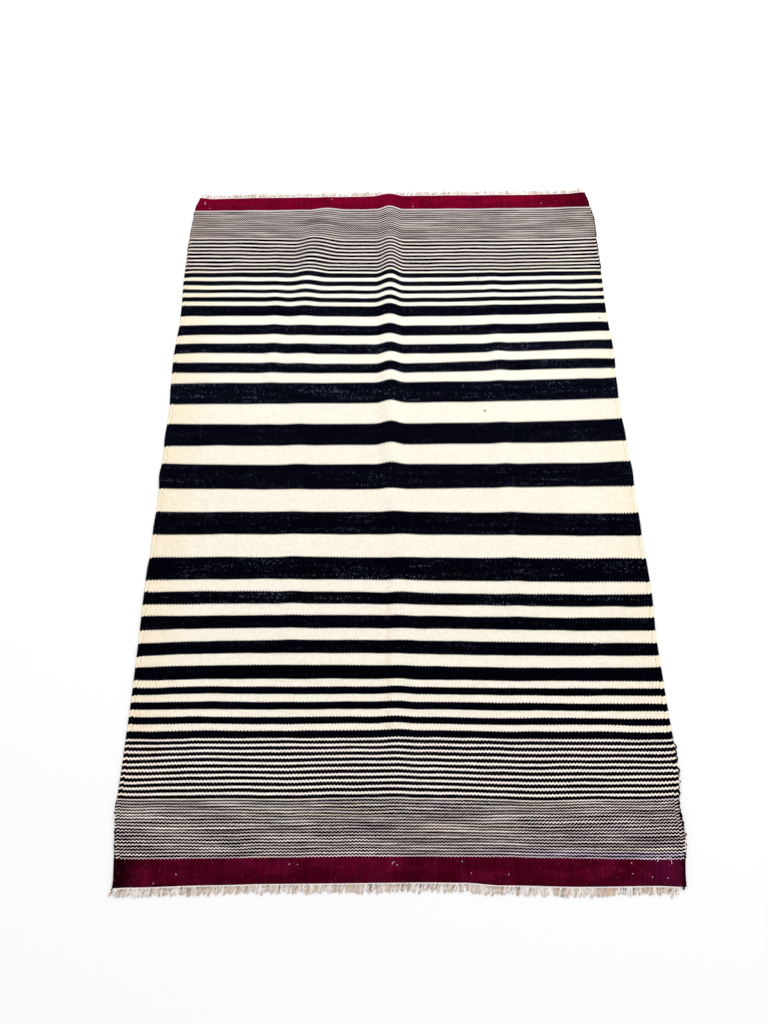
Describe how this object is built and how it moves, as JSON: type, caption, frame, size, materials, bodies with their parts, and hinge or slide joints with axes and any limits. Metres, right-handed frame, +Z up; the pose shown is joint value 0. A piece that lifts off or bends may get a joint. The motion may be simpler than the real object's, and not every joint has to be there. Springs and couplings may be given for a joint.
{
  "type": "kilim rug",
  "caption": "Flat-woven kilim rug laid flat, with crosswise stripes, plain end bands, slight lengthwise creases and a short cut fringe at both ends.",
  "frame": {"origin": "on the floor, under the middle of the rug's outline", "axes": "+X across the rug, +Y along its warps from the near end to the far end, +Z up from the floor"},
  "size_m": [1.0036, 1.6178, 0.0189],
  "materials": {
    "woven_cloth": "matt weft-faced wool, cream ground with near-black stripes and deep maroon end bands",
    "warp_yarn": "matt undyed yarn, cut short and slightly ruffled"
  },
  "bodies": {
    "root": {"rug_panel": "woven_cloth", "fringe_near": "warp_yarn", "fringe_far": "warp_yarn"}
  },
  "joints": []
}
